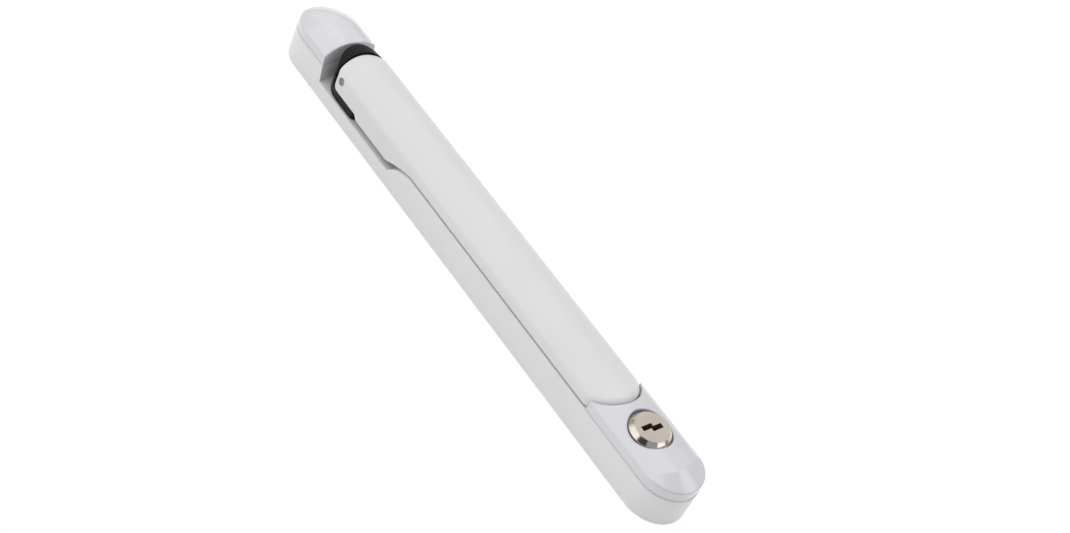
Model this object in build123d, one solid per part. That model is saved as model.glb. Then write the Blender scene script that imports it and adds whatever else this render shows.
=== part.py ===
from build123d import *
import math
import os

# Slim in-line handle with a fold-out lever. It lies on its back face: +Z points away from
# the door, +Y runs along the base towards the pivot end. The origin is the spindle axis at
# the back face. Every size is in millimetres.

# Base
base_width = 22.0            # across
nose_reach = 35.3            # spindle axis to the pivot end
lock_reach = 182.0           # spindle axis to the lock end
end_length = 11.8            # length of each rounded end
deck_height = 11.3           # back face to the deck, where the caps sit
base_wall = 2.0              # side walls
deck_thickness = 2.0

# Recess that the turning head sits in
recess_floor = deck_height - 5.9    # back face to the recess floor
floor_under = 3.0            # back face to the underside of the recess floor
recess_gap = 0.35            # between the turning rotor and the foot of the end wall
recess_bow = 40.0            # the wall's foot bows round the rotor, on the left
recess_lean = 1.75           # the end wall leans back this much up to the cap's top
recess_top_bow = 70.0        # the wall's top edge bows less
recess_foot = 33.6           # spindle axis to the foot of the ramp
recess_crest = 44.5          # spindle axis to the top of the ramp

# Caps
cap_rise = 6.3               # deck to the top of the caps
cap_inset = 0.3              # step between a cap and the base at the seam
cap_wall = 1.7
cap_crown = 21.7             # the top is arched across the handle
cap_edge = 0.8               # soft edge between a cap's side and its top
cap_chamfer = 0.25           # lower edge of the caps, at the seam
lock_band = 3.75             # upright band above the seam, lock end
lock_slope = 6.9             # length of the slope above the band, lock end
lock_crease = 13.0           # the top edge of the slope seen from above
nose_droop = 13.0            # length over which the top curves down, pivot end
nose_droop_radius = 25.3
scoop_depth = 6.1            # the horns of the lock cap stand this far out
scoop_spread = 0.3           # the scoop is this much rounder than half the base's width
scoop_wall = 10.3            # lock axis to the deepest point of the scoop

# Lever
lever_inset = 0.6            # each side of the lever, in from the base
lever_rise = 6.9             # deck to the top of the lever
lever_crown = 16.8           # the top is arched across the handle
lever_edge = 2.25            # soft edge between the lever's side and its top
lever_gap = 0.55             # gap between lever and deck
head_bottom = deck_height - 4.0     # underside of the deep part of the head
cheek_bottom = deck_height - 2.5    # underside of the cheeks over the rotor
head_foot = 31.0             # spindle axis to where the deep part starts
tip_gap = 0.4                # gap between the lever's tip and the scoop
tip_corner = 3.0             # corners of the tip seen from above
nose_radius = 24.0           # nose of the head seen from above
nose_corner = 3.2            # corners of the head's nose seen from above
nose_tip = 5.6               # spindle axis to the nose of the head
nose_length = 16.0           # part of the head with the round nose
lever_wall = 2.2             # walls round the hollow underside
lever_skin = 2.4             # thickness of the top over the hollow
hollow_margin = 13.0         # solid length at the lever's tip
web_thickness = 1.2          # cross webs in the hollow
slot_back = 7.6              # spindle axis to the closed end of the slot for the ear

# Pivot
pivot_height = deck_height + 2.1    # back face to the cross pin
pin_radius = 1.4
pin_sunk = 0.2               # each end stops this far inside the lever's side
bush_wall = 0.6
ear_width = 8.0
ear_radius = 3.4
ear_foot = 5.0               # half length of the ear where it leaves the rotor
slot_clearance = 0.3         # each side of the ear in the head
shim_thickness = 0.24        # ring on the pin at each side of the ear
fold_clearance = 0.45        # between the turning head and the rotor's shell

# Rotor and drive hub
rotor_inset = 0.7            # each side of the rotor, in from the base
rotor_tail = 0.1             # the rotor's square end lies this far beyond its round
rotor_corner = 1.6
rotor_rim = deck_height + 7.6       # back face to the top of the rotor's shell
rotor_crown = 13.0           # the rim is arched across the handle
rotor_edge = 0.5             # soft edge of the rim
shell_front = 2.0            # spindle axis to the ends of the shell
swing_bow = 15.5             # the room for the turning nose is narrower at its ends
floor_gap = 0.1              # under the hub's flange
rotor_gap = 0.15             # under the lever's cheeks
journal_radius = 6.3
journal_clearance = 0.05
flange_side = 14.0
flange_thickness = 1.6
socket_side = 7.1            # square socket for a 7 mm spindle
socket_depth = 7.4
hub_end = 0.5                # the journal stops this far inside the back face
clip_thickness = 0.8
spring_room = 0.4            # between the washer and the clip
clip_depth = 0.7             # groove depth
washer_thickness = 0.5

# Lock
lock_margin = 23.0           # lock axis to the lock end
lock_hole = 7.4              # radius of the hole in the cap
barrel_radius = 7.05
barrel_face = 5.7            # radius of the flat face
barrel_proud = 0.65          # face above the cap
barrel_bevel = 1.5           # height of the bevelled rim
cam_radius = 5.1
cam_offset = 1.8
stem_radius = 4.9
stem_clearance = 0.05
stem_end = 2.4               # back face to the end of the stem
boss_wall = 1.8
keyway_width = 1.7           # across each half of the keyhole
keyway_reach = 3.6           # keyhole's middle to each end
keyway_lap = 0.55            # each half runs this far past the middle
keyway_step = 1.15           # offset between the halves
keyway_depth = 13.0
plate_thickness = 2.4        # locking plate
plate_clearance = 0.1
plate_rim = 1.4              # width of the plate beside the cam
tongue_width = 7.0
tongue_reach = 9.7           # lock axis to the end of the tongue, unlocked

# Fixings
boss_radius = 4.0
fixing_radius = 2.1          # M5 tapping hole
fixing_depth = 8.0
fixing_screw_gap = 7.5       # fixing under the pivot-end cap to that cap's screw
fixing_lock = 31.0           # lock axis to the other fixing
screw_radius = 1.25          # cap screws
screw_head = 2.3
screw_head_height = 1.3
screw_grip = 5.2             # length of a cap screw inside its cap
nose_screw_margin = 5.8      # pivot-end screw to the pivot end
lock_screw_margin = 7.4      # lock-end screw to the lock end

back = 0.0
deck_under = deck_height - deck_thickness
seam_half = base_width / 2 - cap_inset
cap_top = deck_height + cap_rise
scoop_radius = base_width / 2 + scoop_spread
lock_place = lock_reach - lock_margin
scoop_reach = lock_place - scoop_wall
lock_cap_front = scoop_reach - scoop_depth
lock_screw_place = lock_reach - lock_screw_margin
nose_screw_place = nose_reach - nose_screw_margin
fixing_nose = nose_screw_place - fixing_screw_gap
floor_thickness = recess_floor - floor_under
washer_low = floor_under - washer_thickness
clip_height = washer_low - spring_room - clip_thickness
lever_half = base_width / 2 - lever_inset
lever_top = deck_height + lever_rise
rotor_radius = base_width / 2 - rotor_inset
rotor_back = rotor_radius + rotor_tail
recess_nose = rotor_radius + recess_gap
washer_radius = base_width / 2 - base_wall
tip_reach = scoop_reach - tip_gap
tip_radius = scoop_radius - tip_gap


def at_y(y):
    return Pos(0, y, 0)


def upright(radius, low, high, x=0.0, y=0.0):
    """An upright round bar from one height to another."""
    return extrude(Pos(x, y, low) * Circle(radius), high - low)


def block(y_from, y_to, low, high):
    """A block that is wider than the handle, from one y to another."""
    middle = Pos(0, (y_from + y_to) / 2, (low + high) / 2)
    return middle * Box(2 * base_width, y_to - y_from, high - low)


def outline(half, nose, lock, end):
    """The base seen from above: straight sides and softly rounded ends."""
    sides = [
        Line((-half, -lock + end), (-half, nose - end)),
        Line((half, nose - end), (half, -lock + end)),
    ]
    top = EllipticalCenterArc((0, nose - end), half, end, 0, arc_size=180)
    bottom = EllipticalCenterArc((0, -lock + end), half, end, 180, arc_size=180)
    return make_face(sides + [top, bottom])


def side_view(points_or_curves, half):
    """A shape drawn in the side view, made the given half width thick both ways."""
    return extrude(Plane.YZ * make_face(points_or_curves), half, both=True)


def crowned_section(half, low, high, crown, edge):
    """A cross-section with upright sides, an arched top and soft upper edges, which are
    no softer than the height of the sides allows."""
    corner = high - crown + math.sqrt(crown ** 2 - half ** 2)
    turn = math.acos(half / crown)
    softest = 0.9 * (corner - low) / math.tan(turn / 2)
    lines = Polyline((-half, corner), (-half, low), (half, low), (half, corner))
    arch = ThreePointArc((half, corner), (0, high), (-half, corner))
    section = make_face([lines, arch])
    if edge > 0:
        section = fillet(section.vertices().sort_by(Axis.Y)[-2:], min(edge, softest))
    return section


def lengthwise(section, y_from, y_to):
    """A cross-section in the XZ plane made into a bar along the handle."""
    plane = Plane(origin=(0, y_to, 0), x_dir=(1, 0, 0), z_dir=(0, -1, 0))
    return extrude(plane * section, y_to - y_from)


# Base casting: a long tray turned over, with a recess for the head.
base_outer = extrude(outline(base_width / 2, nose_reach, lock_reach, end_length), deck_height)
foot_edges = base_outer.faces().sort_by(Axis.Z)[-1].edges()
base_outer = chamfer(foot_edges, cap_inset)
inner_half = base_width / 2 - base_wall
base_hollow = extrude(
    outline(inner_half, nose_reach - base_wall, lock_reach - base_wall, end_length - base_wall),
    deck_under,
)

ramp = [
    Line((-recess_foot, recess_floor), (recess_nose + 9, recess_floor)),
    Line((recess_nose + 9, recess_floor), (recess_nose + 9, cap_top + 1)),
    Line((recess_nose + 9, cap_top + 1), (-recess_crest, cap_top + 1)),
    Line((-recess_crest, cap_top + 1), (-recess_crest, deck_height)),
    ThreePointArc(
        (-recess_crest, deck_height),
        (-recess_foot - 4.1, recess_floor + 3.7),
        (-recess_foot, recess_floor),
    ),
]


def wall_outline(reach, bow):
    """The recess seen from above. Its end wall bows round the rotor on the left, and is
    straight on the right, where the side of the turned rotor comes to lie along it."""
    side = base_width
    edge = reach - bow + math.sqrt(bow ** 2 - side ** 2)
    middle = reach - bow + math.sqrt(bow ** 2 - side ** 2 / 4)
    return make_face([
        ThreePointArc((-side, edge), (-side / 2, middle), (0, reach)),
        Polyline((0, reach), (side, reach), (side, -lock_reach / 2),
                 (-side, -lock_reach / 2), (-side, edge)),
    ])


recess_room = loft([
    Pos(0, 0, recess_floor) * wall_outline(recess_nose, recess_bow),
    Pos(0, 0, cap_top + 1) * wall_outline(recess_nose + recess_lean, recess_top_bow),
])
recess = side_view(ramp, base_width) & recess_room

recess_shell = [
    Line((-recess_foot - 1.2, recess_floor - floor_thickness),
         (recess_nose + base_wall, recess_floor - floor_thickness)),
    Line((recess_nose + base_wall, recess_floor - floor_thickness),
         (recess_nose + base_wall, deck_under)),
    Line((recess_nose + base_wall, deck_under), (-recess_crest - 1.5, deck_under)),
    ThreePointArc(
        (-recess_crest - 1.5, deck_under),
        (-recess_foot - 6.0, recess_floor + 1.6),
        (-recess_foot - 1.2, recess_floor - floor_thickness),
    ),
]
recess_block = side_view(recess_shell, inner_half)

base = base_outer - base_hollow + recess_block - recess

# Bosses for the two fixings, the lock stem and the cap screws.
fixing_places = [fixing_nose, fixing_lock - lock_place]
for place in fixing_places:
    base += upright(boss_radius, back, deck_height - 0.5, y=place)
for place in fixing_places:
    base -= upright(fixing_radius, back, fixing_depth, y=place)

lock_axis = -lock_place
stem_bore = stem_radius + stem_clearance
base += upright(stem_bore + boss_wall, stem_end + 1.6, deck_under + 0.5, y=lock_axis)
base -= upright(stem_bore, back, deck_height + 1, y=lock_axis)

screw_places = [nose_screw_place, -lock_screw_place]
screw_seat = deck_under - 1.6
for place in screw_places:
    base += upright(screw_head + 1.2, screw_seat, deck_under + 0.5, y=place)
    base -= upright(screw_radius + 0.1, back, deck_height + 1, y=place)

# Cross ribs stiffen the long tray.
rib_from = -recess_crest - 15.5
rib_step = (fixing_places[1] - 4 * boss_radius / 2 - 6 - rib_from) / 3
for place in [rib_from + rib_step * i for i in range(4)]:
    rib_block = Pos(0, place, deck_under / 2 + 2.0) * Box(2 * inner_half + 0.2, 1.2, deck_under - 4.0)
    base += rib_block

# Bore for the hub through the recess floor.
base -= upright(journal_radius + journal_clearance, back, recess_floor + 1)

# Caps: one arched bar over the outline of the base, cut into the two caps.
nose_seam = nose_reach - cap_inset
lock_seam = lock_reach - cap_inset
end_seam = end_length - cap_inset
band_outline = outline(seam_half, nose_seam, lock_seam, end_seam)
cap_bar = lengthwise(
    crowned_section(seam_half, deck_height, cap_top, cap_crown, cap_edge),
    -lock_reach - 1, nose_reach + 1,
)
cap_block = extrude(Pos(0, 0, deck_height) * band_outline, cap_rise + 1)
cap_foot = cap_block.faces().sort_by(Axis.Z)[0].edges()
cap_block = chamfer(cap_foot, cap_chamfer)

# At the pivot end the arched top curves down: the same section is turned about a cross axis.
droop_start = nose_seam - nose_droop
droop_axis = Axis((0, droop_start, cap_top - nose_droop_radius), (1, 0, 0))
droop_section = crowned_section(seam_half, 2.0, cap_top, cap_crown, cap_edge)
droop_plane = Plane(origin=(0, droop_start, 0), x_dir=(1, 0, 0), z_dir=(0, -1, 0))
droop = revolve(droop_plane * droop_section, droop_axis, -40)

# At the lock end a slope runs from a curved crease on the top down to the band.
slope_low = deck_height + lock_band
crease_centre = -lock_seam + lock_slope + lock_crease
crease_half = seam_half + 0.1


def crease_point(x):
    """A point of the crease on the arched top."""
    y = crease_centre - math.sqrt(lock_crease ** 2 - x ** 2)
    z = cap_top - cap_crown + math.sqrt(cap_crown ** 2 - x ** 2)
    return (x, y, max(z, slope_low) + 0.02)


crease_curve = Spline([crease_point(crease_half * i / 6) for i in range(-6, 7)])
foot_centre = -lock_seam + end_seam
foot_curve = Spline([
    (-crease_half * math.cos(math.pi * i / 12),
     foot_centre - (end_seam + 0.1) * math.sin(math.pi * i / 12), slope_low)
    for i in range(13)
])
slope_face = Face.make_surface_from_curves(crease_curve.edge(), foot_curve.edge())
slope_cut = extrude(slope_face, amount=8, dir=(0, 0, 1))

lock_side = block(-lock_reach - 1, -lock_cap_front, back, 2 * cap_top)
nose_side = block(recess_nose - 1, nose_reach + 1, back, 2 * cap_top)
straight_bar = cap_bar & block(-lock_reach - 2, droop_start, back, 2 * cap_top)
lock_cap = cap_block & straight_bar & lock_side
lock_cap -= slope_cut
nose_cap = (cap_block & (straight_bar + droop) & nose_side) - recess

# Round scoop at the front of the lock cap, for the lever's tip.
scoop = upright(scoop_radius, deck_height, cap_top + 1, y=scoop_radius - scoop_reach)
lock_cap -= scoop

# Hollow of the lock cap with the guide for the locking plate.
yoke_half = cam_radius + plate_clearance
window_half = cam_radius + cam_offset + 0.2
plate_half = window_half + plate_rim
plate_low = deck_height + 0.05
plate_high = plate_low + plate_thickness
cam_rest = -cam_offset * math.sin(math.radians(45))
yoke_centre = lock_axis + cam_rest
slide_travel = 2 * cam_offset * math.sin(math.radians(45))
plate_back = yoke_centre - yoke_half - 2.0
plate_front = yoke_centre + yoke_half + 2.0
tongue_end = lock_axis + tongue_reach

guide_low = plate_back - 0.3
guide_high = plate_front + slide_travel + 0.3
guide = Pos(0, (guide_low + guide_high) / 2, (deck_height + plate_high + 0.1) / 2) * Box(
    2 * (plate_half + 0.1), guide_high - guide_low, plate_high + 0.1 - deck_height
)
tongue_guide = Pos(0, (guide_low - lock_cap_front + 2) / 2, (deck_height + plate_high + 0.1) / 2) * Box(
    tongue_width + 0.2, -lock_cap_front + 2 - guide_low, plate_high + 0.1 - deck_height
)
lock_cap -= guide
lock_cap -= tongue_guide
lock_cap -= upright(lock_hole, deck_height, cap_top + 1, y=lock_axis)
lock_cap -= upright(screw_radius, deck_height - 1, deck_height + screw_grip - 0.6, y=-lock_screw_place)

# Hollow of the pivot-end cap, with a post for its screw.
cap_cavity = extrude(
    Pos(0, 0, deck_height)
    * outline(seam_half - cap_wall, nose_seam - cap_wall, 0, end_seam - cap_wall),
    cap_rise - cap_wall - 1.2,
)
cavity_front = block(recess_nose + recess_lean + cap_wall, nose_reach, back, 2 * cap_top)
nose_hollow = cap_cavity & cavity_front
nose_hollow -= upright(screw_head + 0.6, deck_height, cap_top, y=nose_screw_place)
nose_cap -= nose_hollow
nose_cap -= upright(screw_radius, deck_height - 1, deck_height + screw_grip - 1.6, y=nose_screw_place)

# Lever
lever_low = deck_height + lever_gap
cheek_radius = pivot_height - cheek_bottom
lever_side = [
    Line((-tip_reach - 5, lever_low), (-recess_crest, lever_low)),
    ThreePointArc(
        (-recess_crest, lever_low),
        (-head_foot - 6.2, head_bottom + 2.65),
        (-head_foot, head_bottom),
    ),
    Line((-head_foot, head_bottom), (-rotor_back - 1.8, head_bottom)),
    Line((-rotor_back - 1.8, head_bottom), (-rotor_back - 0.3, cheek_bottom)),
    Line((-rotor_back - 0.3, cheek_bottom), (0, cheek_bottom)),
    RadiusArc((0, cheek_bottom), (cheek_radius, pivot_height), -cheek_radius),
    Line((cheek_radius, pivot_height), (nose_tip, pivot_height + 1.2)),
    Line((nose_tip, pivot_height + 1.2), (nose_tip, lever_top + 1)),
    Line((nose_tip, lever_top + 1), (-tip_reach - 5, lever_top + 1)),
    Line((-tip_reach - 5, lever_top + 1), (-tip_reach - 5, lever_low)),
]
lever_bar = crowned_section(lever_half, head_bottom - 1, lever_top, lever_crown, 0)
grip_end = -head_foot
grip = lengthwise(lever_bar, -tip_reach - 3, grip_end) & side_view(lever_side, base_width)
tip_centre = tip_radius - tip_reach
tip_plan = Pos(0, tip_centre) * Circle(tip_radius)
tip_plan += Pos(0, tip_centre / 2) * Rectangle(2 * base_width, -tip_centre)
tip_plan = tip_plan & Pos(0, tip_centre) * Rectangle(2 * lever_half, -2 * tip_centre)
tip_plan = fillet(tip_plan.vertices().sort_by(Axis.Y)[:2], tip_corner)
grip = grip & extrude(tip_plan, 2 * lever_top)
arch_face = grip.faces().sort_by(Axis.Z)[-1]
arch_edges = arch_face.edges().filter_by(lambda e: e.center().Y < grip_end - 0.01)
grip = fillet(arch_edges, lever_edge)

# The head: the same section with a slightly round nose.
head_bar = crowned_section(lever_half, head_bottom - 1, lever_top, lever_crown, lever_edge)
head = lengthwise(head_bar, grip_end, nose_tip + 1) & side_view(lever_side, base_width)
nose_plan = Pos(0, nose_tip - nose_radius) * Circle(nose_radius)
nose_plan = nose_plan & Pos(0, nose_tip - nose_length / 2) * Rectangle(2 * lever_half, nose_length)
nose_plan = fillet(nose_plan.vertices().sort_by(Axis.Y)[-2:], nose_corner)
nose_keep = extrude(nose_plan, 2 * lever_top)
nose_keep += block(grip_end - 1, nose_tip - 0.6 * nose_length, back, 2 * lever_top)
head = head & nose_keep
lever = grip + head

# Hollow underside between the head and the tip.
hollow_from = -tip_reach + hollow_margin
hollow_to = -recess_crest - 2.0
lever_hollow = lengthwise(
    crowned_section(
        lever_half - lever_wall, lever_low - 1, lever_top - lever_skin, lever_crown, 1.0
    ),
    hollow_from, hollow_to,
)
lever -= lever_hollow
web_step = (hollow_to - hollow_from) / 4
for place in [hollow_from + web_step * (i + 1) for i in range(3)]:
    web_section = crowned_section(
        lever_half - 0.8, lever_low + 1.0, lever_top - 0.8, lever_crown, lever_edge
    )
    lever += lengthwise(web_section, place - web_thickness / 2, place + web_thickness / 2)

# Slot for the ear, open below and at the nose.
ear_slot = [
    Line((-slot_back, 0), (-slot_back, pivot_height + ear_radius + slot_clearance)),
    Line((-slot_back, pivot_height + ear_radius + slot_clearance),
         (nose_tip + 2, pivot_height + ear_radius + slot_clearance)),
    Line((nose_tip + 2, pivot_height + ear_radius + slot_clearance), (nose_tip + 2, 0)),
    Line((nose_tip + 2, 0), (-slot_back, 0)),
]
lever -= side_view(ear_slot, ear_width / 2 + slot_clearance)
pin_bar = Pos(0, 0, pivot_height) * Rot(0, 90, 0) * Cylinder(pin_radius, 4 * lever_half)
lever -= pin_bar

# Pocket in the tip for the tongue of the locking plate.
pocket_low = plate_low - 1
pocket = Pos(0, -tip_reach + 1.0, (pocket_low + plate_high + 0.25) / 2) * Box(
    tongue_width + 0.6, 6.0, plate_high + 0.25 - pocket_low
)
lever -= pocket

pivot_pin = Pos(0, 0, pivot_height) * Rot(0, 90, 0) * Cylinder(pin_radius, 2 * lever_half - 2 * pin_sunk)
pivot_pin = chamfer(pivot_pin.edges().filter_by(GeomType.CIRCLE), 0.2)

# Drive hub: journal, square flange and the ear that carries the pin.
flange_low = recess_floor + floor_gap
flange_high = flange_low + flange_thickness
drive_hub = upright(journal_radius, hub_end, flange_low + 0.1)
flange = extrude(Pos(0, 0, flange_low) * RectangleRounded(flange_side, flange_side, 2.0), flange_thickness)
drive_hub += flange
ear_shape = [
    Line((-ear_foot, flange_low + 0.5), (ear_foot, flange_low + 0.5)),
    Line((ear_foot, flange_low + 0.5), (ear_radius, pivot_height)),
    RadiusArc((ear_radius, pivot_height), (-ear_radius, pivot_height), -ear_radius),
    Line((-ear_radius, pivot_height), (-ear_foot, flange_low + 0.5)),
]
ear = side_view(ear_shape, ear_width / 2)
drive_hub += ear
bush_radius = pin_radius + 0.05 + bush_wall
bush_bar = Pos(0, 0, pivot_height) * Rot(0, 90, 0) * Cylinder(bush_radius, 2 * ear_width)
drive_hub -= bush_bar
socket = Pos(0, 0, socket_depth / 2) * Box(socket_side, socket_side, socket_depth)
drive_hub -= socket
groove = upright(journal_radius + 1, clip_height - 0.02, clip_height + clip_thickness + 0.02)
groove -= upright(journal_radius - clip_depth, 0, recess_floor)
drive_hub -= groove

pivot_bush = Pos(0, 0, pivot_height) * Rot(0, 90, 0) * Cylinder(bush_radius, ear_width)
pivot_bush -= Pos(0, 0, pivot_height) * Rot(0, 90, 0) * Cylinder(pin_radius + 0.05, 2 * ear_width)

# A shim on the pin at each side of the ear.
shim_places = {}
for name, side in [("pivot_shim_left", -1), ("pivot_shim_right", 1)]:
    middle = side * (ear_width / 2 + slot_clearance / 2)
    shim = Pos(middle, 0, pivot_height) * Rot(0, 90, 0) * Cylinder(ear_radius - 0.4, shim_thickness)
    shim -= Pos(0, 0, pivot_height) * Rot(0, 90, 0) * Cylinder(pin_radius + 0.05, 4 * ear_width)
    shim_places[name] = shim

# Washer, disc spring and clip behind the recess floor.
thrust_washer = upright(washer_radius, washer_low, floor_under)
thrust_washer -= upright(journal_radius + journal_clearance, 0, floor_under + 1)
spring_low = clip_height + clip_thickness
spring_profile = Polyline(
    (journal_radius + 0.05, spring_low),
    (journal_radius + 0.05, spring_low + 0.2),
    (washer_radius - 0.6, washer_low - 0.02),
    (washer_radius - 0.6, washer_low - 0.22),
    (journal_radius + 0.05, spring_low),
)
disc_spring = revolve(Plane.XZ * make_face(spring_profile), Axis.Z)
clip_outer = journal_radius + 1.0
hub_clip = upright(clip_outer, clip_height, clip_height + clip_thickness)
hub_clip -= upright(journal_radius - clip_depth + 0.03, 0, recess_floor)
hub_clip -= Pos(0, -clip_outer, clip_height) * Box(3.2, 2 * clip_outer, 4 * clip_thickness)

# Rotor: a moulded cradle with a raised shell round the nose of the head.
rotor_low = recess_floor + floor_gap + 0.05
rotor_side = cheek_bottom - rotor_gap
rotor_plan = Circle(rotor_radius) + Pos(0, -rotor_back / 2) * Rectangle(2 * rotor_radius, rotor_back)
rotor_plate = extrude(Pos(0, 0, rotor_low) * rotor_plan, rotor_side - rotor_low)
back_corners = rotor_plate.edges().filter_by(Axis.Z).sort_by(Axis.Y)[:2]
rotor_plate = fillet(back_corners, rotor_corner)
rim_section = crowned_section(rotor_radius, rotor_low, rotor_rim, rotor_crown, rotor_edge)
shell_blank = upright(rotor_radius, rotor_low, rotor_rim + 1)
shell_blank = shell_blank & lengthwise(rim_section, -rotor_radius, rotor_radius)
shell_blank -= block(-rotor_radius - 1, shell_front, back, 2 * rotor_rim)
nose_swing = math.hypot(nose_tip, lever_top - pivot_height) + fold_clearance
swing_half = rotor_radius + 1


def swing_reach(x):
    """Radius of the room that the turning nose needs, at a distance x from the middle."""
    return nose_swing - swing_bow + math.sqrt(swing_bow ** 2 - x ** 2)


swing_points = [(swing_half * i / 3, pivot_height + swing_reach(swing_half * i / 3))
                for i in range(-3, 4)]
swing_profile = make_face(Polyline(
    *swing_points, (swing_half, pivot_height), (-swing_half, pivot_height), close=True,
))
swing_bar = revolve(Plane.XZ * swing_profile, Axis((0, 0, pivot_height), (1, 0, 0)))
swing_low = upright(2 * rotor_radius, back, cheek_bottom)
head_room = extrude(offset(nose_plan, fold_clearance), 2 * rotor_rim)
shell = shell_blank - (swing_bar - swing_low) - head_room
rotor = rotor_plate + shell
rotor -= extrude(
    Pos(0, 0, 0) * RectangleRounded(flange_side + 0.1, flange_side + 0.1, 2.0), flange_high + 0.05
)
rotor -= Pos(0, 0, 10) * Box(ear_width + 0.1, 2 * ear_foot + 0.1, 20)

# Lock barrel: bevelled face, eccentric cam and stem, all on the lock axis.
face_height = cap_top + barrel_proud
cam_high = plate_high + 0.15
barrel_profile = Polyline(
    (0, cam_high),
    (0, face_height),
    (barrel_face, face_height),
    (barrel_radius, face_height - barrel_bevel),
    (barrel_radius, cam_high),
    (0, cam_high),
)
lock_barrel = revolve(Plane.XZ * make_face(barrel_profile), Axis.Z)
cam_angle = math.radians(-45)
cam_x = cam_offset * math.cos(cam_angle)
cam_y = cam_offset * math.sin(cam_angle)
lock_barrel += upright(cam_radius, plate_low - 0.02, cam_high, x=cam_x, y=cam_y)
lock_barrel += upright(stem_radius, stem_end, plate_low)
lock_barrel = at_y(lock_axis) * lock_barrel
slot_high = face_height + 1
half_length = keyway_reach + keyway_lap
half_centre = (keyway_reach - keyway_lap) / 2
slot_middle = slot_high - keyway_depth / 2
keyway_half = Box(half_length, keyway_width, keyway_depth)
left_half = Pos(-half_centre, lock_axis + keyway_step / 2, slot_middle) * keyway_half
right_half = Pos(half_centre, lock_axis - keyway_step / 2, slot_middle) * keyway_half
lock_barrel -= left_half
lock_barrel -= right_half
barrel_groove = upright(stem_radius + 1, stem_end + 0.48, stem_end + 1.28, y=lock_axis)
barrel_groove -= upright(stem_radius - 0.7, 0, 20, y=lock_axis)
lock_barrel -= barrel_groove

lock_washer = upright(stem_radius + 1.6, stem_end + 1.29, stem_end + 1.59, y=lock_axis)
lock_washer -= upright(stem_bore, 0, 20, y=lock_axis)
barrel_clip = upright(stem_radius + 1.4, stem_end + 0.5, stem_end + 1.26, y=lock_axis)
barrel_clip -= upright(stem_radius - 0.67, 0, 20, y=lock_axis)
barrel_clip -= Pos(0, lock_axis - 6, stem_end + 1) * Box(2.6, 12, 4)

# Locking plate with its window round the cam and its tongue.
plate_mid = (plate_back + plate_front) / 2
lock_plate = Pos(0, plate_mid, (plate_low + plate_high) / 2) * Box(
    2 * plate_half, plate_front - plate_back, plate_thickness
)
lock_plate = fillet(lock_plate.edges().filter_by(Axis.Z), 1.5)
tongue_length = tongue_end - yoke_centre
tongue = Pos(0, yoke_centre + tongue_length / 2, (plate_low + plate_high) / 2) * Box(
    tongue_width, tongue_length, plate_thickness
)
lock_plate += tongue
window = Pos(0, yoke_centre, plate_low) * Box(2 * window_half, 2 * yoke_half, 4 * plate_thickness)
lock_plate -= window


def cap_screw(place, grip):
    """Pan-head screw that holds a cap from behind the deck."""
    head = upright(screw_head, screw_seat - screw_head_height, screw_seat, y=place)
    head = chamfer(head.faces().sort_by(Axis.Z)[0].edges(), 0.4)
    shank = upright(screw_radius - 0.03, screw_seat - 0.1, deck_height + grip, y=place)
    slot = Pos(0, place, screw_seat - screw_head_height) * Box(2.6, 0.6, 1.0)
    cross = Pos(0, place, screw_seat - screw_head_height) * Box(0.6, 2.6, 1.0)
    return head + shank - slot - cross


nose_cap_screw = cap_screw(nose_screw_place, screw_grip - 2.2)
lock_cap_screw = cap_screw(-lock_screw_place, screw_grip - 1.2)

pieces = {
    "base": base,
    "nose_cap": nose_cap,
    "lock_cap": lock_cap,
    "lever": lever,
    "pivot_pin": pivot_pin,
    "pivot_bush": pivot_bush,
    "pivot_shim_left": shim_places["pivot_shim_left"],
    "pivot_shim_right": shim_places["pivot_shim_right"],
    "rotor": rotor,
    "drive_hub": drive_hub,
    "thrust_washer": thrust_washer,
    "disc_spring": disc_spring,
    "hub_clip": hub_clip,
    "lock_barrel": lock_barrel,
    "lock_plate": lock_plate,
    "lock_washer": lock_washer,
    "barrel_clip": barrel_clip,
    "nose_cap_screw": nose_cap_screw,
    "lock_cap_screw": lock_cap_screw,
}

os.makedirs("parts", exist_ok=True)
for name, piece in pieces.items():
    export_step(piece, f"parts/{name}.step")
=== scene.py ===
import bpy
import numpy as np
from mathutils import Matrix

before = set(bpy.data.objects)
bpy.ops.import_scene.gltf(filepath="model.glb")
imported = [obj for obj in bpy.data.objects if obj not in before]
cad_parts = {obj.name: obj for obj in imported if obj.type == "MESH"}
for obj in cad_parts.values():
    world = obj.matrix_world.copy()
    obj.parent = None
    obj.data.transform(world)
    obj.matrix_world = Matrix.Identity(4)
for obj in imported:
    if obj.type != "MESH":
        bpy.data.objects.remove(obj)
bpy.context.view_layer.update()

scene = bpy.context.scene

# Camera.
# The handle is seen from above its left side, with the spindle end far away at the
# upper left and the lock end near at the lower right.
camera_place = (-0.3369, -0.3234, 0.3864)
camera_right = (0.7530, -0.5604, 0.3448)
camera_up = (0.2308, 0.7157, 0.6592)
camera_back = (-0.6162, -0.4169, 0.6682)
camera_lens = 59.6

camera_data = bpy.data.cameras.new("camera")
camera_data.sensor_fit = "HORIZONTAL"
camera_data.sensor_width = 36.0
camera_data.lens = camera_lens
camera_data.clip_start = 0.01
camera = bpy.data.objects.new("camera", camera_data)
scene.collection.objects.link(camera)
turn = Matrix((camera_right, camera_up, camera_back)).transposed().to_4x4()
camera.matrix_world = Matrix.Translation(camera_place) @ turn
scene.camera = camera
scene.view_settings.view_transform = "Standard"


# Floor.
# A plain white sheet under the back face. It looks white to the camera and in
# reflections, and still takes part of the handle's soft shadow.
floor_size = 3.0
floor_drop = 0.0002
floor_white = 0.92
floor_glow = 0.85
floor_strength = 1.06


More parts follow.
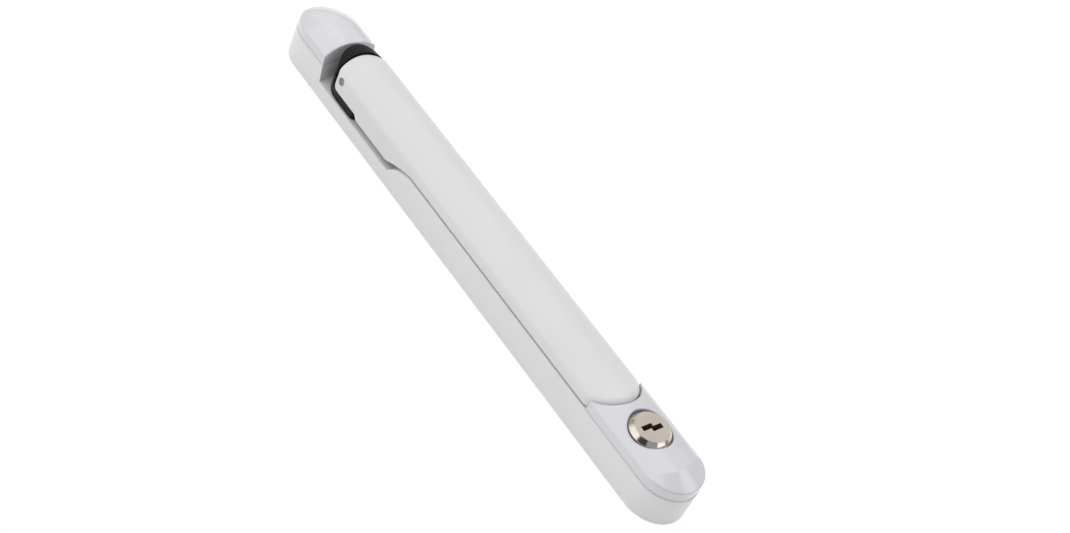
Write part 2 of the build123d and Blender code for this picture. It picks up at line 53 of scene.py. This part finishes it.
def node_maker(material):
    """Gives a function that adds a node to the material and sets its numbers."""
    material.use_nodes = True
    tree = material.node_tree
    tree.nodes.clear()

    def add(kind, inputs=None, **settings):
        node = tree.nodes.new(kind)
        for key, value in settings.items():
            setattr(node, key, value)
        for key, value in (inputs or {}).items():
            if isinstance(value, bpy.types.NodeSocket):
                tree.links.new(value, node.inputs[key])
            else:
                node.inputs[key].default_value = value
        return node

    return add


floor_paper = bpy.data.materials.new("floor_paper")
add = node_maker(floor_paper)
path = add("ShaderNodeLightPath")
seen = add("ShaderNodeMath", {0: path.outputs["Is Camera Ray"],
                              1: path.outputs["Is Glossy Ray"]}, operation="MAXIMUM")
seen = add("ShaderNodeMath", {0: seen.outputs[0], 1: path.outputs["Is Transmission Ray"]},
           operation="MAXIMUM")
share = add("ShaderNodeMath", {0: seen.outputs[0], 1: floor_glow}, operation="MULTIPLY")
matt = add("ShaderNodeBsdfDiffuse", {"Color": (floor_white, floor_white, floor_white, 1)})
glow = add("ShaderNodeEmission", {"Color": (1, 1, 1, 1), "Strength": floor_strength})
both = add("ShaderNodeMixShader", {0: share.outputs[0], 1: matt.outputs[0],
                                   2: glow.outputs[0]})
add("ShaderNodeOutputMaterial", {"Surface": both.outputs[0]})

side = floor_size / 2
floor_mesh = bpy.data.meshes.new("floor")
floor_mesh.from_pydata([(-side, -side, -floor_drop), (side, -side, -floor_drop),
                        (side, side, -floor_drop), (-side, side, -floor_drop)],
                       [], [(0, 1, 2, 3)])
floor_mesh.materials.append(floor_paper)
floor = bpy.data.objects.new("floor", floor_mesh)
scene.collection.objects.link(floor)


# Studio light.
# A pale room, darker low down and in front and nearly black behind the camera, with
# brighter walls at the far left, low near left, near right and far right. One large
# soft lamp hangs high above the spindle end, and a small one by the lock.
room_level = 0.66
room_low = 0.42
room_seen = 1.0
room_rise = 0.7
# Each patch has a direction, the cosines where it starts and is full, and the factor
# that it multiplies the room by.
patches = [
    ((-0.66, -0.27, 0.70), 0.90, 0.97, 0.10),
    ((-0.78, 0.48, 0.42), 0.66, 0.92, 2.2),
    ((0.00, -0.80, 0.60), 0.10, 0.85, 0.70),
    ((-0.85, -0.50, 0.15), 0.80, 0.95, 2.0),
    ((0.46, -0.82, 0.34), 0.94, 0.955, 3.8),
    ((0.55, 0.68, 0.45), 0.90, 0.97, 1.8),
]

world = bpy.data.worlds.new("room")
scene.world = world
add = node_maker(world)
aim = add("ShaderNodeTexCoord").outputs["Generated"]
apart = add("ShaderNodeSeparateXYZ", {0: aim})
height = add("ShaderNodeMapRange", {"Value": apart.outputs["Z"], "From Min": 0.0,
                                    "From Max": room_rise, "To Min": room_low,
                                    "To Max": room_level})
room = height.outputs[0]
for direction, start, full, factor in patches:
    unit = tuple(np.array(direction) / np.linalg.norm(direction))
    near = add("ShaderNodeVectorMath", {0: aim, 1: unit}, operation="DOT_PRODUCT")
    patch = add("ShaderNodeMapRange", {"Value": near.outputs["Value"], "From Min": start,
                                       "From Max": full, "To Min": 1.0, "To Max": factor},
                interpolation_type="SMOOTHSTEP")
    room = add("ShaderNodeMath", {0: room, 1: patch.outputs[0]},
               operation="MULTIPLY").outputs[0]
path = add("ShaderNodeLightPath")
level = add("ShaderNodeMix", {0: path.outputs["Is Camera Ray"], 2: room, 3: room_seen},
            data_type="FLOAT")
paint = add("ShaderNodeBackground", {"Color": (1, 1, 1, 1), "Strength": level.outputs[0]})
add("ShaderNodeOutputWorld", {"Surface": paint.outputs[0]})


def soft_lamp(name, place, towards, width, height, watts):
    """A flat rectangular lamp at a place, turned towards a point."""
    data = bpy.data.lights.new(name, "AREA")
    data.shape = "RECTANGLE"
    data.size = width
    data.size_y = height
    data.energy = watts
    lamp = bpy.data.objects.new(name, data)
    back = np.array(place, float) - np.array(towards, float)
    back /= np.linalg.norm(back)
    across = np.cross((0.0, 1.0, 0.0), back)
    across /= np.linalg.norm(across)
    rise = np.cross(back, across)
    lamp.matrix_world = (Matrix.Translation(place)
                         @ Matrix((across, rise, back)).transposed().to_4x4())
    scene.collection.objects.link(lamp)


middle = (0.0, -0.075, 0.0)
lock_end = (0.0, -0.175, 0.016)
soft_lamp("overhead_lamp", (0.05, 0.25, 1.0), middle, width=1.1, height=1.1, watts=3.4)
soft_lamp("window_lamp", (0.52, -0.31, 0.67), lock_end, width=0.34, height=0.34,
          watts=0.6)


# Base.
# A die-cast zinc channel that the whole handle is built on, with a wall all round and
# a deck on top. It is powder coated white, and its open back lies on the door.
base_white = (0.794, 0.781, 0.785, 1)
peel_size = 0.0011
skin_depth = 0.00004
grain_ratio = 6.0
grain_depth = 0.00001
blotch_scale = 45.0
edge_samples = 6


def spread(add, noise, low, high):
    """Stretches the middle of a noise, from 0.3 to 0.7, to run from low to high."""
    return add("ShaderNodeMapRange", {"Value": noise.outputs[0], "From Min": 0.3,
                                      "From Max": 0.7, "To Min": low, "To Max": high})


def coated(name, colour, roughness, peel, coat=0.0, coat_rough=0.1, edge=0.0003):
    """White paint or moulding. The colour is the given one times a slow noise near one,
    the roughness has a fine noise added, and the bump is a rolling skin with a fine
    grain on it. The normal is rounded over the given radius at the edges."""
    material = bpy.data.materials.new(name)
    add = node_maker(material)
    spot = add("ShaderNodeTexCoord").outputs["Object"]
    slow = add("ShaderNodeTexNoise", {"Vector": spot, "Scale": blotch_scale,
                                      "Detail": 2.0})
    skin = add("ShaderNodeTexNoise", {"Vector": spot, "Scale": 1.0 / peel_size,
                                      "Detail": 2.0, "Roughness": 0.45})
    grain = add("ShaderNodeTexNoise", {"Vector": spot, "Scale": grain_ratio / peel_size,
                                       "Detail": 1.0})
    shade = spread(add, slow, 0.985, 1.01)
    tint = add("ShaderNodeVectorMath", {0: colour[:3], "Scale": shade.outputs[0]},
               operation="SCALE")
    rough = spread(add, grain, roughness - 0.03, roughness + 0.04)
    soft = add("ShaderNodeBevel", {"Radius": edge}, samples=edge_samples)
    rolling = add("ShaderNodeBump", {"Strength": peel, "Distance": skin_depth,
                                     "Height": skin.outputs[0],
                                     "Normal": soft.outputs[0]})
    fine = add("ShaderNodeBump", {"Strength": peel * 0.5, "Distance": grain_depth,
                                  "Height": grain.outputs[0],
                                  "Normal": rolling.outputs[0]})
    paint = add("ShaderNodeBsdfPrincipled", {"Base Color": tint.outputs[0],
                                             "Roughness": rough.outputs[0],
                                             "Normal": fine.outputs[0],
                                             "Coat Weight": coat,
                                             "Coat Roughness": coat_rough})
    add("ShaderNodeOutputMaterial", {"Surface": paint.outputs[0]})
    return material


def dress(node, material):
    """Puts one material on a node in place of the plain one."""
    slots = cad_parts[node].data.materials
    slots.clear()
    slots.append(material)


base_paint = coated("base_paint", base_white, 0.38, 0.25, coat=0.15)
dress("base", base_paint)


# Caps.
# Two glossy moulded covers, one over the spindle end and one over the lock, each held
# by a screw from inside the base. Their white is a little cooler and shinier than the
# paint of the base.
cap_white = (0.702, 0.692, 0.729, 1)

cap_moulding = coated("cap_moulding", cap_white, 0.19, 0.06, coat=0.5, coat_rough=0.05,
                      edge=0.0010)
dress("nose_cap", cap_moulding)
dress("lock_cap", cap_moulding)


# Lever.
# The die-cast grip that lifts at the lock end and turns at the spindle end. It hangs
# on the cross pin and has a satin white powder coat.
lever_white = (0.755, 0.753, 0.763, 1)

lever_paint = coated("lever_paint", lever_white, 0.42, 0.3, coat=0.1)
dress("lever", lever_paint)


# Rotor.
# The cradle that carries the lever on its pin and turns with the spindle. It is
# moulded in black glass-filled nylon, satin from the tool.
rotor_black = (0.0058, 0.0052, 0.0072)
rotor_shine = 0.14
rotor_edge = 0.00025
cloud_scale = 260.0
spark_scale = 5200.0
spark_strength = 0.35
spark_depth = 0.00002


def moulded_black(name, colour, roughness):
    """Black moulding. The colour is the given one times a middle noise near one, the
    roughness has the same noise added, and the bump is a fine spark texture."""
    material = bpy.data.materials.new(name)
    add = node_maker(material)
    spot = add("ShaderNodeTexCoord").outputs["Object"]
    spark = add("ShaderNodeTexNoise", {"Vector": spot, "Scale": spark_scale,
                                       "Detail": 2.0})
    cloud = add("ShaderNodeTexNoise", {"Vector": spot, "Scale": cloud_scale,
                                       "Detail": 3.0})
    shade = spread(add, cloud, 0.85, 1.2)
    tint = add("ShaderNodeVectorMath", {0: colour, "Scale": shade.outputs[0]},
               operation="SCALE")
    rough = spread(add, cloud, roughness - 0.05, roughness + 0.06)
    soft = add("ShaderNodeBevel", {"Radius": rotor_edge}, samples=edge_samples)
    bump = add("ShaderNodeBump", {"Strength": spark_strength, "Distance": spark_depth,
                                  "Height": spark.outputs[0], "Normal": soft.outputs[0]})
    paint = add("ShaderNodeBsdfPrincipled", {"Base Color": tint.outputs[0],
                                             "Roughness": rough.outputs[0],
                                             "Specular IOR Level": rotor_shine,
                                             "Normal": bump.outputs[0]})
    add("ShaderNodeOutputMaterial", {"Surface": paint.outputs[0]})
    return material


rotor_moulding = moulded_black("rotor_moulding", rotor_black, 0.36)
dress("rotor", rotor_moulding)


# Pin, hub, plate, washers, springs, clips, shims, screws and bush.
# Steel parts, and one bronze bush, that hold the lever, the spindle socket and the
# lock in place. They are turned or stamped, and left as they come from the machine.
pin_steel = (0.27, 0.25, 0.23)
zinc_steel = (0.60, 0.60, 0.61)
spring_steel = (0.30, 0.30, 0.31)
bush_bronze = (0.55, 0.36, 0.19)
metal_edge = 0.00015
stain_scale = 180.0
line_strength = 0.25
line_depth = 0.000015


def worked_metal(name, colour, roughness, line, along=(1.0, 1.0, 1.0)):
    """Bare metal. Fine tool lines are a noise with its axes scaled apart, which is
    added to the roughness and gives the bump, and the colour is the given one times a
    slow noise near one."""
    material = bpy.data.materials.new(name)
    add = node_maker(material)
    spot = add("ShaderNodeTexCoord").outputs["Object"]
    aim = add("ShaderNodeMapping", {"Vector": spot, "Scale": along})
    lines = add("ShaderNodeTexNoise", {"Vector": aim.outputs[0], "Scale": line,
                                       "Detail": 3.0})
    slow = add("ShaderNodeTexNoise", {"Vector": spot, "Scale": stain_scale,
                                      "Detail": 2.0})
    shade = spread(add, slow, 0.9, 1.08)
    tint = add("ShaderNodeVectorMath", {0: colour, "Scale": shade.outputs[0]},
               operation="SCALE")
    rough = spread(add, lines, roughness - 0.06, roughness + 0.08)
    soft = add("ShaderNodeBevel", {"Radius": metal_edge}, samples=edge_samples)
    bump = add("ShaderNodeBump", {"Strength": line_strength, "Distance": line_depth,
                                  "Height": lines.outputs[0], "Normal": soft.outputs[0]})
    paint = add("ShaderNodeBsdfPrincipled", {"Base Color": tint.outputs[0],
                                             "Metallic": 1.0,
                                             "Roughness": rough.outputs[0],
                                             "Normal": bump.outputs[0]})
    add("ShaderNodeOutputMaterial", {"Surface": paint.outputs[0]})
    return material


turned_pin = worked_metal("turned_pin", pin_steel, 0.38, 900.0, along=(6.0, 1.0, 1.0))
dress("pivot_pin", turned_pin)
plated_steel = worked_metal("plated_steel", zinc_steel, 0.34, 1400.0)
for node in ("thrust_washer", "drive_hub", "lock_plate", "lock_washer", "pivot_shim_left",
             "pivot_shim_right", "nose_cap_screw", "lock_cap_screw"):
    dress(node, plated_steel)
blued_spring = worked_metal("blued_spring", spring_steel, 0.3, 2000.0)
for node in ("disc_spring", "hub_clip", "barrel_clip"):
    dress(node, blued_spring)
bronze_bush = worked_metal("bronze_bush", bush_bronze, 0.4, 1600.0,
                           along=(1.0, 5.0, 5.0))
dress("pivot_bush", bronze_bush)


# Lock barrel.
# A turned brass barrel with nickel plate, held in the base by a washer and a clip. Its
# flat face is satin and its bevelled rim is polished, with a stepped slot for the key.
# The rim's nickel colour is also lifted above the face's, a painted sheen.
nickel = (0.622, 0.555, 0.499)
face_tone = 0.91
# The rim tone lifts the nickel colour on the polished rim, a painted sheen.
rim_painted_sheen = 1.10
barrel_centre = (0.0, -0.159, 0.0)
face_edge = 0.0057
rim_start = face_edge + 0.0002
face_rough = 0.42
rim_rough = 0.08
plate_edge = 0.0001
plate_cloud = 300.0
ring_scale = 5000.0
ring_strength = 0.08
ring_depth = 0.00001

nickel_plate = bpy.data.materials.new("nickel_plate")
add = node_maker(nickel_plate)
spot = add("ShaderNodeTexCoord").outputs["Object"]
centred = add("ShaderNodeVectorMath", {0: spot, 1: barrel_centre}, operation="SUBTRACT")
flat = add("ShaderNodeVectorMath", {0: centred.outputs[0], 1: (1.0, 1.0, 0.0)},
           operation="MULTIPLY")
radius = add("ShaderNodeVectorMath", {0: flat.outputs[0]}, operation="LENGTH")
rim = add("ShaderNodeMapRange", {"Value": radius.outputs["Value"], "From Min": face_edge,
                                 "From Max": rim_start, "To Min": face_rough,
                                 "To Max": rim_rough})
rings = add("ShaderNodeTexNoise", {"Vector": radius.outputs["Value"], "Scale": ring_scale,
                                   "Detail": 2.0})
cloud = add("ShaderNodeTexNoise", {"Vector": spot, "Scale": plate_cloud, "Detail": 3.0})
shade = spread(add, cloud, 0.95, 1.05)
# Painted sheen: the nickel colour rises from the face's tone to a brighter rim tone
# across the rim's edge.
rim_sheen_and_face_tone = add("ShaderNodeMapRange", {"Value": radius.outputs["Value"],
                                    "From Min": face_edge, "From Max": rim_start,
                                    "To Min": face_tone, "To Max": rim_painted_sheen})
tone = add("ShaderNodeMath", {0: shade.outputs[0], 1: rim_sheen_and_face_tone.outputs[0]},
           operation="MULTIPLY")
tint = add("ShaderNodeVectorMath", {0: nickel, "Scale": tone.outputs[0]},
           operation="SCALE")
soft = add("ShaderNodeBevel", {"Radius": plate_edge}, samples=edge_samples)
bump = add("ShaderNodeBump", {"Strength": ring_strength, "Distance": ring_depth,
                              "Height": rings.outputs[0], "Normal": soft.outputs[0]})
plate = add("ShaderNodeBsdfPrincipled", {"Base Color": tint.outputs[0], "Metallic": 1.0,
                                         "Roughness": rim.outputs[0],
                                         "Normal": bump.outputs[0]})
add("ShaderNodeOutputMaterial", {"Surface": plate.outputs[0]})
dress("lock_barrel", nickel_plate)
